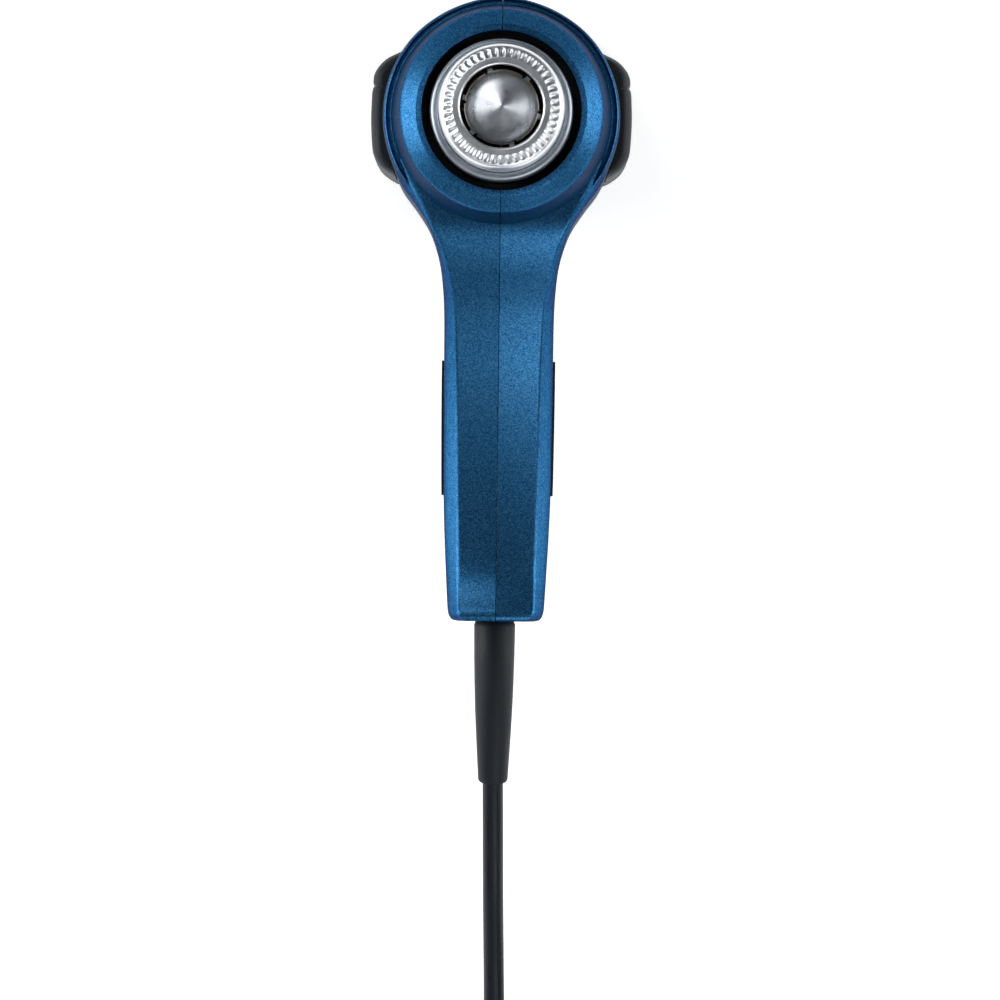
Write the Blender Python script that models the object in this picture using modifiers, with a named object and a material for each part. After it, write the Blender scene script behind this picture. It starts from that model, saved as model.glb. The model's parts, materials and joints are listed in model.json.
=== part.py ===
"""A corded hot-air gun, standing on its rear end with the nozzle up.

Metres. Z is the nozzle's axis, the handle points along -Y, X is sideways.
z = 0 is the surface that the gun stands on.
"""

import math

import bmesh
import bpy
from mathutils import Matrix, Vector

for old in list(bpy.data.objects):
    bpy.data.objects.remove(old)

GAP = 0.0003            # clearance between neighbouring pieces
WALL = 0.0025           # housing wall
ROUND_STEPS = 48        # steps of the large round pieces
SPLIT = 0.0001          # half of the gap between the two shells

# Head and collar: (radius, z) down the outside
HEAD_OUTER = [
    (0.0000, 0.1660), (0.0301, 0.1660), (0.0353, 0.1605), (0.0359, 0.1594),
    (0.0387, 0.1330), (0.0389, 0.1296), (0.0406, 0.1296), (0.0409, 0.1309),
    (0.0414, 0.1305), (0.0420, 0.1265), (0.0423, 0.1150), (0.0422, 0.0900),
    (0.0416, 0.0560), (0.0404, 0.0320), (0.0388, 0.0210), (0.0000, 0.0210),
]
HEAD_INNER = [
    (0.0000, 0.1680), (0.0311, 0.1680), (0.0279, 0.1630), (0.0279, 0.1560),
    (0.0326, 0.1560), (0.0354, 0.1320), (0.0372, 0.1250), (0.0395, 0.1180),
    (0.0397, 0.0900), (0.0391, 0.0560), (0.0379, 0.0320), (0.0364, 0.0180),
    (0.0000, 0.0180),
]

# Handle stations: (y, half width, half width of the front face, front z, back z)
STATIONS = [
    (-0.0100, 0.0400, 0.0375, 0.1300, 0.0260),
    (-0.0180, 0.0384, 0.0352, 0.1302, 0.0260),
    (-0.0250, 0.0353, 0.0318, 0.1303, 0.0262),
    (-0.0320, 0.0302, 0.0280, 0.1304, 0.0270),
    (-0.0393, 0.0256, 0.0242, 0.1296, 0.0300),
    (-0.0465, 0.0229, 0.0208, 0.1268, 0.0345),
    (-0.0537, 0.0211, 0.0187, 0.1222, 0.0390),
    (-0.0610, 0.0202, 0.0172, 0.1165, 0.0425),
    (-0.0700, 0.0197, 0.0158, 0.1100, 0.0438),
    (-0.0850, 0.0196, 0.0151, 0.1015, 0.0440),
    (-0.1000, 0.0196, 0.0148, 0.0955, 0.0440),
    (-0.1180, 0.0195, 0.0145, 0.0903, 0.0440),
    (-0.1350, 0.0193, 0.0142, 0.0868, 0.0425),
    (-0.1500, 0.0188, 0.0140, 0.0848, 0.0405),
    (-0.1620, 0.0182, 0.0139, 0.0845, 0.0388),
    (-0.1710, 0.0177, 0.0138, 0.0866, 0.0380),
    (-0.1770, 0.0172, 0.0135, 0.0888, 0.0380),
    (-0.1795, 0.0160, 0.0122, 0.0885, 0.0388),
    (-0.1802, 0.0140, 0.0105, 0.0872, 0.0400),
]
BEVEL_DEPTH = 0.0048    # how far the handle's side bevel drops
CREST = 0.0007          # the front face's crest at the parting line
HANDLE_END = -0.1802

# Nozzle
JACKET_R = 0.0251       # outside of the outer ring
TUBE_R = 0.0220         # outside of the tube, which push-on nozzles fit
TIP_Z = 0.1950          # the flat ring around the mouth, the gun's highest face
FLAT_R = (0.0150, 0.0171)
MOUTH_R = 0.0144
FLUTES = 46
FLUTE_DEPTH = 0.0007
DISC_Z = 0.1860         # edge of the disc, a few millimetres inside the mouth
DISC_R = 0.0132

# Cord
CORD_D = 0.0075
CORD_X = -0.0003
RELIEF = [              # the strain relief's centre line and radius: (y, z, radius)
    (-0.1805, 0.0600, 0.0075), (-0.1950, 0.0596, 0.0073), (-0.2095, 0.0580, 0.0069),
    (-0.2240, 0.0550, 0.0062), (-0.2380, 0.0508, 0.0054), (-0.2388, 0.0505, 0.0046),
]
DROOP = [               # the cord from the strain relief down to the coil
    (-0.0003, -0.2392, 0.0504), (0.0000, -0.2600, 0.0430), (0.0003, -0.2820, 0.0325),
    (0.0007, -0.3020, 0.0210), (0.0011, -0.3220, 0.0115), (0.0014, -0.3420, 0.0062),
    (0.0016, -0.3600, 0.0053),
]
COIL_X = 0.0513
COIL_Y = -0.3880
COIL_IN = 0.03055
COIL_OUT = 0.05345
COIL_LOW = 0.0015
COIL_HIGH = 0.0242

gun = bpy.data.collections.new("heat_gun")
tools = bpy.data.collections.new("cutters")
bpy.context.scene.collection.children.link(gun)
bpy.context.scene.collection.children.link(tools)


def material(name, colour, metallic=0.0, roughness=0.5):
    found = bpy.data.materials.get(name)
    if found:
        return found
    made = bpy.data.materials.new(name)
    made.use_nodes = True
    shader = made.node_tree.nodes["Principled BSDF"]
    shader.inputs["Base Color"].default_value = (*colour, 1.0)
    shader.inputs["Metallic"].default_value = metallic
    shader.inputs["Roughness"].default_value = roughness
    return made


def add(name, mesh, mat=None):
    """An object in the gun's collection, or among the cutters if it has no material."""
    made = bpy.data.objects.new(name, mesh)
    if mat:
        mesh.materials.clear()
        mesh.materials.append(mat)
        gun.objects.link(made)
    else:
        tools.objects.link(made)
        made.hide_render = True
        made.display_type = "WIRE"
    return made


def outward(mesh):
    """Turns every face of a closed mesh outwards."""
    shape = bmesh.new()
    shape.from_mesh(mesh)
    bmesh.ops.remove_doubles(shape, verts=shape.verts, dist=1e-7)
    bmesh.ops.recalc_face_normals(shape, faces=shape.faces)
    shape.to_mesh(mesh)
    shape.free()
    return mesh


def loft(name, rings, mat=None, closed=False):
    """Joins rings of equal length into a closed skin; closed joins the last ring to the first."""
    count = len(rings[0])
    points = [p for ring in rings for p in ring]
    faces = []
    for i in range(len(rings) - (0 if closed else 1)):
        a = i * count
        b = ((i + 1) % len(rings)) * count
        for k in range(count):
            n = (k + 1) % count
            faces.append((a + k, a + n, b + n, b + k))
    if not closed:
        faces.append(tuple(range(count)))
        last = (len(rings) - 1) * count
        faces.append(tuple(last + k for k in reversed(range(count))))
    mesh = bpy.data.meshes.new(name)
    mesh.from_pydata(points, [], faces)
    return add(name, outward(mesh), mat)


def turned(name, profile, mat=None, steps=ROUND_STEPS, ring=False):
    """Turns a profile of (radius, z) about Z; ring says that the profile is a closed outline."""
    outline = bpy.data.meshes.new(name)
    edges = [(i, i + 1) for i in range(len(profile) - 1)]
    if ring:
        edges.append((len(profile) - 1, 0))
    outline.from_pydata([(r, 0, z) for r, z in profile], edges, [])
    source = bpy.data.objects.new(name + "_outline", outline)
    tools.objects.link(source)
    screw = source.modifiers.new("turn", "SCREW")
    screw.axis = "Z"
    screw.steps = steps
    screw.render_steps = steps
    screw.use_merge_vertices = True
    screw.merge_threshold = 0.00001
    mesh = baked(source)
    return add(name, outward(mesh), mat)


def baked(source):
    """The mesh that an object's modifiers make; the object itself is removed."""
    bpy.context.view_layer.update()
    seen = source.evaluated_get(bpy.context.evaluated_depsgraph_get())
    mesh = bpy.data.meshes.new_from_object(seen)
    mesh.transform(source.matrix_world)
    bpy.data.objects.remove(source)
    return mesh


def box(name, low, high, mat=None, bevel=0.0):
    low = Vector(low)
    high = Vector(high)
    mesh = bpy.data.meshes.new(name)
    shape = bmesh.new()
    bmesh.ops.create_cube(shape, size=1.0)
    bmesh.ops.scale(shape, vec=high - low, verts=shape.verts)
    bmesh.ops.translate(shape, vec=(high + low) / 2, verts=shape.verts)
    if bevel:
        bmesh.ops.bevel(shape, geom=shape.edges, offset=bevel, segments=2, affect="EDGES")
    shape.to_mesh(mesh)
    shape.free()
    return add(name, mesh, mat)


def rod(name, start, end, radius, mat=None, steps=20, end_radius=None):
    """A round bar from start to end."""
    start = Vector(start)
    along = Vector(end) - start
    mesh = bpy.data.meshes.new(name)
    shape = bmesh.new()
    bmesh.ops.create_cone(shape, cap_ends=True, segments=steps, radius1=radius,
                          radius2=radius if end_radius is None else end_radius, depth=along.length)
    turn = Vector((0, 0, 1)).rotation_difference(along).to_matrix().to_4x4()
    shape.transform(Matrix.Translation(start + along / 2) @ turn)
    shape.to_mesh(mesh)
    shape.free()
    return add(name, mesh, mat)


def combine(target, others, operation):
    """Adds or takes the others from the target and keeps the result as its mesh."""
    for other in others:
        change = target.modifiers.new(other.name, "BOOLEAN")
        change.operation = operation
        change.solver = "EXACT"
        change.object = other
    bpy.context.view_layer.update()
    seen = target.evaluated_get(bpy.context.evaluated_depsgraph_get())
    mesh = bpy.data.meshes.new_from_object(seen)
    shape = bmesh.new()
    shape.from_mesh(mesh)
    bmesh.ops.remove_doubles(shape, verts=shape.verts, dist=3e-6)
    bmesh.ops.dissolve_degenerate(shape, edges=shape.edges, dist=3e-6)
    shape.to_mesh(mesh)
    shape.free()
    target.modifiers.clear()
    kept = list(target.data.materials)
    target.data = mesh
    mesh.materials.clear()
    for mat in kept:
        mesh.materials.append(mat)
    for face in mesh.polygons:
        face.material_index = 0
    return target


def cut(target, *others):
    return combine(target, others, "DIFFERENCE")


def join(target, *others):
    return combine(target, others, "UNION")


def keep_inside(target, other):
    return combine(target, [other], "INTERSECT")


def copy_of(source, name, mat=None):
    return add(name, source.data.copy(), mat)


def smooth_points(route, step):
    """Points about step apart on a smooth curve through the route's points."""
    route = [Vector(p) for p in route]
    ends = [2 * route[0] - route[1]] + route + [2 * route[-1] - route[-2]]
    found = []
    for a, b, c, d in zip(ends, ends[1:], ends[2:], ends[3:]):
        count = max(1, round((c - b).length / step))
        for k in range(count):
            t = k / count
            found.append(0.5 * (2 * b + (c - a) * t + (2 * a - 5 * b + 4 * c - d) * t * t
                                + (3 * b - a - 3 * c + d) * t ** 3))
    return found + [route[-1]]


def wire(name, points, radius, mat, resolution=2):
    """A round wire or tube along points, closed at both ends."""
    curve = bpy.data.curves.new(name, "CURVE")
    curve.dimensions = "3D"
    curve.bevel_depth = radius
    curve.bevel_resolution = resolution
    curve.use_fill_caps = True
    line = curve.splines.new("POLY")
    line.points.add(len(points) - 1)
    for place, point in zip(line.points, points):
        place.co = (*point, 1.0)
    source = bpy.data.objects.new(name + "_line", curve)
    tools.objects.link(source)
    return add(name, outward(baked(source)), mat)


# ---------------------------------------------------------------- materials

BLUE = material("blue_shell", (0.012, 0.085, 0.220), 0.55, 0.38)
BLACK = material("black_plastic", (0.016, 0.017, 0.019), 0.0, 0.55)
RUBBER = material("black_rubber", (0.020, 0.021, 0.023), 0.0, 0.75)
STEEL = material("stainless_steel", (0.560, 0.570, 0.580), 1.0, 0.28)
SCREW_STEEL = material("zinc_steel", (0.450, 0.450, 0.460), 1.0, 0.35)
MICA = material("mica", (0.480, 0.420, 0.300), 0.0, 0.45)
CERAMIC = material("ceramic", (0.780, 0.760, 0.700), 0.0, 0.60)
WIRE = material("heater_wire", (0.300, 0.270, 0.250), 1.0, 0.45)
CAN = material("motor_steel", (0.500, 0.500, 0.520), 1.0, 0.40)
BOARD = material("circuit_board", (0.050, 0.200, 0.080), 0.0, 0.50)
FILM = material("capacitor_case", (0.600, 0.420, 0.060), 0.0, 0.40)
BROWN = material("lead_brown", (0.180, 0.070, 0.030), 0.0, 0.50)
LEAD_BLUE = material("lead_blue", (0.030, 0.140, 0.450), 0.0, 0.50)
CORD = material("cord_rubber", (0.012, 0.014, 0.016), 0.0, 0.60)
BRASS = material("nickel_brass", (0.620, 0.600, 0.540), 1.0, 0.25)


# ---------------------------------------------------------------- handle

def section(station, inset=0.0):
    """One closed ring of the handle, seen along Y; inset moves it inwards."""
    y, side, ridge, front, back = station
    side -= inset
    ridge -= inset * 0.9
    front -= inset
    back += inset
    crest = max(0.0, CREST if inset == 0 else CREST * 0.6)
    bevel = BEVEL_DEPTH * min(1.0, (side - ridge) / 0.0035)
    half = [
        (0.0, front + crest),
        (ridge * 0.55, front + crest * 0.62),
        (ridge, front),
        (side - (side - ridge) * 0.18, front - bevel * 0.86),
        (side, front - bevel * 1.25),
        (side, (front + back) / 2 + 0.002),
        (side * 0.985, back + 0.0145),
        (side * 0.900, back + 0.0078),
        (side * 0.700, back + 0.0026),
        (side * 0.420, back + 0.0004),
        (0.0, back),
    ]
    left = [(-x, z) for x, z in half[-2:0:-1]]
    return [(x, y, z) for x, z in half + left]


def handle_solid(name, inset=0.0):
    stations = [s for s in STATIONS if s[0] > HANDLE_END + inset]
    rings = [section(s, inset) for s in stations]
    if inset > 0:
        y, side, ridge, front, back = stations[-1]
        rings.append(section((HANDLE_END + inset, side, ridge, front, back), inset))
    elif inset == 0:
        rings.append(section(STATIONS[-1]))
    return loft(name, rings)


def on_handle(y, what):
    """The handle's measure at y: 1 half width, 2 front face's half width, 3 front z, 4 back z."""
    for a, b in zip(STATIONS, STATIONS[1:]):
        if a[0] >= y >= b[0]:
            t = (y - a[0]) / (b[0] - a[0])
            return a[what] + (b[what] - a[what]) * t
    return STATIONS[-1][what]


# ---------------------------------------------------------------- housing

# Screw posts run across the gun: (y, z)
POSTS = [(0.0320, 0.1180), (-0.0335, 0.1170), (-0.0660, 0.0780), (-0.1520, 0.0480)]
POST_R = 0.0046


def housing():
    """Both shells, cut from one hollow body at the parting plane."""
    body = join(turned("head_outer", HEAD_OUTER), handle_solid("handle_outer"))
    middle = [(max(0.0, r - 0.0012), min(0.1640, max(0.0225, z))) for r, z in HEAD_OUTER]
    limit = join(turned("head_middle", middle), handle_solid("handle_middle", 0.0012))
    hollow = join(turned("head_inner", HEAD_INNER), handle_solid("handle_inner", WALL))
    body = cut(body, hollow)
    bed = box("slider_bed", (-0.0090, SLIDE_Y - 0.0170, 0.0462), (0.0090, SLIDE_Y + 0.0250, 0.0486))
    ribs = [turned(f"rib_{k}", [(0.0330, z + 0.0019), (0.0408, z + 0.0019), (0.0408, z), (0.0330, z)],
                   steps=40, ring=True) for k, z in enumerate((0.1008, 0.1049))]
    body = join(body, bed)
    body = join(body, ribs[0])
    body = join(body, ribs[1])
    relief = rod("relief_hole", (CORD_X, -0.1900, 0.0600), (CORD_X, -0.1700, 0.0600), 0.0062, steps=32)
    body = cut(body, slider_way(), slider_slot(), relief)
    posts = []
    for number, (y, z) in enumerate(POSTS):
        post = rod(f"post_{number}", (-0.060, y, z), (0.060, y, z), POST_R, steps=16)
        posts.append(keep_inside(post, limit))
    body = join(body, *posts)
    holes = []
    for number, (y, z) in enumerate(POSTS):
        head = post_head(y, z)
        holes.append(rod(f"pilot_{number}", (-0.0085, y, z), (head + 0.001, y, z), 0.0017, steps=16))
        holes.append(rod(f"recess_{number}", (head, y, z), (0.060, y, z), 0.0033, steps=20))
    body = cut(body, *holes)
    for side, name in ((-1, "housing_left"), (1, "housing_right")):
        half = copy_of(body, name, BLUE)
        near = box(name + "_keep", (SPLIT if side > 0 else -0.08, -0.25, -0.05),
                   (0.08 if side > 0 else -SPLIT, 0.08, 0.20))
        keep_inside(half, near)


def post_head(y, z):
    """Where a screw's head sits, as a distance from the parting plane."""
    return 0.0110 if y < -0.05 else 0.0160


def screws():
    for number, (y, z) in enumerate(POSTS):
        head = post_head(y, z) + 0.0001
        shank = rod(f"housing_screw_{number + 1}", (-0.0075, y, z), (head + 0.0005, y, z), 0.0014,
                    SCREW_STEEL, 12)
        cap = rod(f"screw_cap_{number}", (head, y, z), (head + 0.0022, y, z), 0.0029, steps=16)
        join(shank, cap)
        socket = box(f"socket_{number}", (head + 0.0012, y - 0.0018, z - 0.0004),
                     (head + 0.0040, y + 0.0018, z + 0.0004))
        cut(shank, socket)


# ---------------------------------------------------------------- switch on the back of the handle

SLIDE_Y = -0.1030       # middle of the slider at rest, its off position
TRAVEL = 0.0080
WAY_Z = 0.0453          # the flat that the slider runs on


def slider_way():
    return box("slider_way", (-0.0065, SLIDE_Y - 0.0125, 0.0300),
               (0.0065, SLIDE_Y + 0.0125 + TRAVEL, WAY_Z))


def slider_slot():
    return box("slider_slot", (-0.0026, SLIDE_Y - 0.0046, 0.0300),
               (0.0026, SLIDE_Y + 0.0046 + TRAVEL, 0.0520))


def switch():
    """A three-position slide switch: its body is inside the handle and its button is outside."""
    body = box("switch_body", (-0.0110, SLIDE_Y - 0.0120, 0.0500), (0.0110, SLIDE_Y + 0.0180, 0.0680),
               BLACK, 0.0006)
    pocket = box("switch_pocket", (-0.0024, SLIDE_Y - 0.0044, 0.0490),
                 (0.0024, SLIDE_Y + 0.0044 + TRAVEL, 0.0545))
    cut(body, pocket)
    button = box("switch_slider", (-0.0058, SLIDE_Y - 0.0118, 0.0408), (0.0058, SLIDE_Y + 0.0118, WAY_Z - GAP),
                 BLACK, 0.0008)
    stem = box("slider_stem", (-0.0018, SLIDE_Y - 0.0036, 0.0440), (0.0018, SLIDE_Y + 0.0036, 0.0540))
    join(button, stem)
    grooves = [box(f"groove_{k}", (-0.0080, SLIDE_Y + k * 0.0032 - 0.0006, 0.0390),
                   (0.0080, SLIDE_Y + k * 0.0032 + 0.0006, 0.0416)) for k in (-2, -1, 0, 1, 2)]
    cut(button, *grooves)


# ---------------------------------------------------------------- soft pads, grips, rear end

PAD_OUTLINE = [         # (x, y) of the right-hand pad, seen from the nozzle's end
    (0.0300, 0.0285), (0.0355, 0.0262), (0.0421, 0.0231), (0.0454, 0.0194), (0.0466, 0.0165),
    (0.0465, 0.0138), (0.0459, 0.0132), (0.0465, 0.0126), (0.0470, 0.0110), (0.0474, 0.0012),
    (0.0468, -0.0090), (0.0465, -0.0119), (0.0439, -0.0163), (0.0392, -0.0196), (0.0300, -0.0225),
]
PAD_TOP = 0.0700
PAD_BORE = [(0.0, 0.0760), (0.0424, 0.0760), (0.0419, 0.0560), (0.0407, 0.0320), (0.0391, 0.0205),
            (0.0391, -0.0050), (0.0, -0.0050)]


def side_pads():
    """The soft pads that the gun stands on, one on each side of the head."""
    for side, name in ((-1, "side_pad_left"), (1, "side_pad_right")):
        rings = []
        for z, shrink in ((0.0, 0.0012), (0.0012, 0.0), (PAD_TOP - 0.0060, 0.0), (PAD_TOP, 0.0030)):
            rings.append([(side * max(0.0300, x - shrink), y * (1 - shrink * 12), z)
                          for x, y in PAD_OUTLINE])
        pad = loft(name, rings, RUBBER)
        cut(pad, turned(name + "_bore", PAD_BORE, steps=72), handle_solid(name + "_neck", -GAP))


def grips():
    """Soft strips on the handle's sides, just proud of the shell."""
    for side, name in ((-1, "grip_left"), (1, "grip_right")):
        outline = []
        for y, low, high in ((-0.0865, 0.0160, 0.0130), (-0.0880, 0.0120, 0.0100), (-0.1100, 0.0105, 0.0095),
                             (-0.1335, 0.0120, 0.0100), (-0.1350, 0.0150, 0.0130)):
            outline.append((y, on_handle(y, 4) + low, on_handle(y, 3) - high))
        ring = [(y, z) for y, z, _ in outline] + [(y, z) for y, _, z in reversed(outline)]
        block = [[(side * x, y, z) for y, z in ring] for x in (0.0100, 0.0260)]
        strip = loft(name, block, RUBBER)
        keep_inside(strip, handle_solid(name + "_out", -0.0008))
        cut(strip, handle_solid(name + "_in", -0.00012))


def rear_end():
    profile = [(0.0358, 0.0207), (0.0386, 0.0207), (0.0386, 0.0058), (0.0371, 0.0043), (0.0068, 0.0043),
               (0.0065, 0.0), (0.0, 0.0)]
    profile = [(0.0, 0.0068), (0.0358, 0.0068)] + profile
    grille = turned("rear_grille", profile, BLACK, 36)
    slots = []
    for k in range(16):
        slot = box(f"air_slot_{k}", (0.0080, -0.0012, 0.0), (0.0265, 0.0012, 0.0100))
        slot.data.transform(Matrix.Rotation(math.tau * (k + 0.5) / 16, 4, "Z"))
        slots.append(slot)
    cut(grille, *slots)
    turned("rear_rest_ring", [(0.0282, 0.0040), (0.0366, 0.0040), (0.0372, 0.0030), (0.0372, 0.0),
                              (0.0282, 0.0)], RUBBER, 36, ring=True)


# ---------------------------------------------------------------- motor and fan

def motor():
    can = turned("motor_can", [(0.0, 0.0880), (0.0060, 0.0880), (0.0060, 0.0865), (0.0165, 0.0865),
                               (0.0180, 0.0850), (0.0180, 0.0480), (0.0165, 0.0465), (0.0060, 0.0465),
                               (0.0060, 0.0450), (0.0, 0.0450)], CAN, 32)
    cut(can, rod("shaft_bore", (0, 0, 0.0400), (0, 0, 0.0540), 0.00157, steps=24))
    rod("motor_shaft", (0, 0, 0.0220), (0, 0, 0.0530), 0.00150, SCREW_STEEL, 24)
    hub = turned("fan_impeller", [(0.0, 0.0400), (0.0070, 0.0400), (0.0078, 0.0392), (0.0080, 0.0256),
                                  (0.0325, 0.0254), (0.0325, 0.0240), (0.0, 0.0240)], BLACK, 36)
    blades = []
    for k in range(9):
        blade = box(f"blade_{k}", (0.0074, -0.0006, 0.0247), (0.0320, 0.0006, 0.0375))
        blade.data.transform(Matrix.Rotation(math.tau * k / 9, 4, "Z"))
        blades.append(blade)
    join(hub, *blades)
    cut(hub, rod("hub_bore", (0, 0, 0.0200), (0, 0, 0.0500), 0.00180, steps=24))
    carrier = turned("motor_carrier", [(0.0183, 0.0690), (0.0206, 0.0690), (0.0206, 0.0600), (0.0183, 0.0600)],
                     BLACK, 24, ring=True)
    outer = turned("carrier_rim", [(0.0366, 0.0680), (0.0387, 0.0680), (0.0387, 0.0610), (0.0366, 0.0610)],
                   steps=36, ring=True)
    arms = []
    for k in range(3):
        arm = box(f"arm_{k}", (0.0196, -0.0018, 0.0620), (0.0376, 0.0018, 0.0670))
        arm.data.transform(Matrix.Rotation(math.tau * (k + 0.25) / 3, 4, "Z"))
        arms.append(arm)
    join(carrier, outer, *arms)
    rod("rectifier_board", (0, 0, 0.0890), (0, 0, 0.0906), 0.0165, BOARD, 32)
    box("capacitor", (-0.0070, 0.0020, 0.0909), (0.0070, 0.0095, 0.0975), FILM, 0.0007)
    box("bridge_rectifier", (-0.0060, -0.0090, 0.0909), (0.0060, -0.0050, 0.0965), BLACK, 0.0005)


# ---------------------------------------------------------------- heater and nozzle

def heater():
    base = turned("heater_base", [(0.0170, 0.1056), (0.0240, 0.1056), (0.0240, 0.0990), (0.0170, 0.0990)],
                  CERAMIC, 40, ring=True)
    hub = rod("base_hub", (0, 0, 0.0990), (0, 0, 0.1056), 0.0045, steps=20)
    bars = []
    for k in range(2):
        bar = box(f"base_bar_{k}", (-0.0205, -0.0015, 0.1000), (0.0205, 0.0015, 0.1046))
        bar.data.transform(Matrix.Rotation(math.radians(45 + 90 * k), 4, "Z"))
        bars.append(bar)
    join(base, hub, *bars)
    cut(base, rod("base_bore", (0, 0, 0.0950), (0, 0, 0.1100), 0.0022, steps=16))
    rod("former_post", (0, 0, 0.0985), (0, 0, DISC_Z + 0.0020), 0.0019, SCREW_STEEL, 16)
    former = rod("mica_former", (0, 0, 0.1062), (0, 0, 0.1660), 0.0034, MICA, 16)
    for k in range(2):
        plate = box(f"plate_{k}", (-0.0138, -0.0005, 0.1065), (0.0138, 0.0005, 0.1655))
        plate.data.transform(Matrix.Rotation(math.radians(90 * k), 4, "Z"))
        join(former, plate)
    cut(former, rod("former_bore", (0, 0, 0.1000), (0, 0, 0.1700), 0.0022, steps=16))
    turns = 8
    count = 12 * turns
    spiral = []
    for k in range(count + 1):
        angle = math.tau * k / 12
        spiral.append((0.0152 * math.cos(angle), 0.0152 * math.sin(angle), 0.1110 + 0.0500 * k / count))
    wire("heater_coil", spiral, 0.0009, WIRE, 1)
    turned("mica_sleeve", [(0.0198, 0.1880), (0.0206, 0.1880), (0.0206, 0.1064), (0.0198, 0.1064)],
           MICA, 40, ring=True)


def nozzle():
    """The jacket is the outer ring seen from the front; the tube carries the fluted face and the mouth."""
    turned("nozzle_jacket", [
        (0.0225, 0.1690), (0.0237, 0.1693), (0.0246, 0.1686), (JACKET_R, 0.1670), (JACKET_R, 0.1045),
        (0.0345, 0.1045), (0.0345, 0.1030), (0.0243, 0.1030), (0.0243, 0.1664), (0.0236, 0.1682),
        (0.0225, 0.1682)], STEEL, ring=True)
    profile = [             # (radius, z, depth of the flutes there)
        (TUBE_R, 0.1061, 0), (TUBE_R, 0.1905, 0), (0.0217, 0.1925, 0), (0.0210, 0.1938, 0),
        (0.0204, 0.1943, 0), (0.0197, 0.1946, FLUTE_DEPTH), (0.0178, 0.1949, FLUTE_DEPTH),
        (FLAT_R[1], TIP_Z, 0), (FLAT_R[0], TIP_Z, 0), (0.0146, 0.1946, 0), (MOUTH_R, 0.1922, 0),
        (0.0150, 0.1930, 0), (0.0204, 0.1926, 0), (0.0212, 0.1905, 0), (0.0212, 0.1061, 0),
    ]
    rings = []
    for radius, z, depth in profile:
        ring = []
        for k in range(2 * FLUTES):
            angle = math.pi * k / FLUTES
            ring.append((radius * math.cos(angle), radius * math.sin(angle), z - depth * (k % 2)))
        rings.append(ring)
    loft("nozzle_tube", rings, STEEL, closed=True)
    disc = turned("deflector_disc", [
        (0.0, DISC_Z + 0.0040), (DISC_R - 0.0003, DISC_Z + 0.0004), (DISC_R, DISC_Z),
        (DISC_R - 0.0003, DISC_Z - 0.0003), (0.0, DISC_Z + 0.0032)], STEEL, 36)
    tabs = []
    for k in range(6):
        tab = box(f"tab_{k}", (0.0122, -0.0011, DISC_Z - 0.0006), (0.0140, 0.0011, DISC_Z + 0.0001))
        tab.data.transform(Matrix.Rotation(math.radians(48 + 60 * k), 4, "Z"))
        tabs.append(tab)
    join(disc, *tabs)
    turned("collar_baffle", [(0.0255, 0.1525), (0.0323, 0.1525), (0.0323, 0.1500), (0.0255, 0.1500)],
           BLACK, 36, ring=True)


# ---------------------------------------------------------------- leads, clamp and cord

def leads():
    for side, name, mat in ((-1, "lead_live", BROWN), (1, "lead_neutral", LEAD_BLUE)):
        route = [(CORD_X + side * 0.0020, -0.1625, 0.0600), (side * 0.0035, -0.1500, 0.0605),
                 (side * 0.0050, -0.1350, 0.0600), (side * 0.0060, -0.1155, 0.0600)]
        wire(name, smooth_points(route, 0.0050), 0.0011, mat, 1)
    for side, name, mat in ((-1, "motor_lead_live", BROWN), (1, "motor_lead_neutral", LEAD_BLUE)):
        route = [(side * 0.0050, -0.0846, 0.0620), (side * 0.0050, -0.0680, 0.0660),
                 (side * 0.0050, -0.0540, 0.0720), (side * 0.0045, -0.0420, 0.0830),
                 (side * 0.0042, -0.0300, 0.0895), (side * 0.0040, -0.0172, 0.0898)]
        wire(name, smooth_points(route, 0.0060), 0.0010, mat, 1)


def clamp():
    rod("cord_tail", (CORD_X, -0.1710, 0.0600), (CORD_X, -0.1630, 0.0600), CORD_D / 2, CORD, 16)
    box("cord_clamp", (CORD_X - 0.0100, -0.1695, 0.0641), (CORD_X + 0.0100, -0.1645, 0.0668), BLACK, 0.0004)
    bar = bpy.data.objects["cord_clamp"]
    for k, side in enumerate((-1, 1)):
        x = CORD_X + side * 0.0072
        cut(bar, rod(f"clamp_hole_{k}", (x, -0.1670, 0.0600), (x, -0.1670, 0.0700), 0.0016, steps=12))
        screw = rod(f"clamp_screw_{k + 1}", (x, -0.1670, 0.0560), (x, -0.1670, 0.0675), 0.0013,
                    SCREW_STEEL, 12)
        join(screw, rod(f"clamp_head_{k}", (x, -0.1670, 0.0670), (x, -0.1670, 0.0688), 0.0025, steps=16))


def strain_relief():
    """A curved, tapered sleeve with a neck and a flange inside the handle."""
    rings = []
    places = [(-0.1745, 0.0600, 0.0080), (-0.1772, 0.0600, 0.0080), (-0.1774, 0.0600, 0.0058),
              (-0.1803, 0.0600, 0.0058)] + RELIEF
    for k, (y, z, radius) in enumerate(places):
        before = places[max(0, k - 1)]
        after = places[min(len(places) - 1, k + 1)]
        slope = math.atan2(after[1] - before[1], before[0] - after[0])
        ring = []
        for step in range(20):
            angle = math.tau * step / 20
            up = radius * math.sin(angle)
            ring.append((CORD_X + radius * math.cos(angle), y + up * math.sin(slope), z + up * math.cos(slope)))
        rings.append(ring)
    loft("strain_relief", rings, RUBBER)


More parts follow.
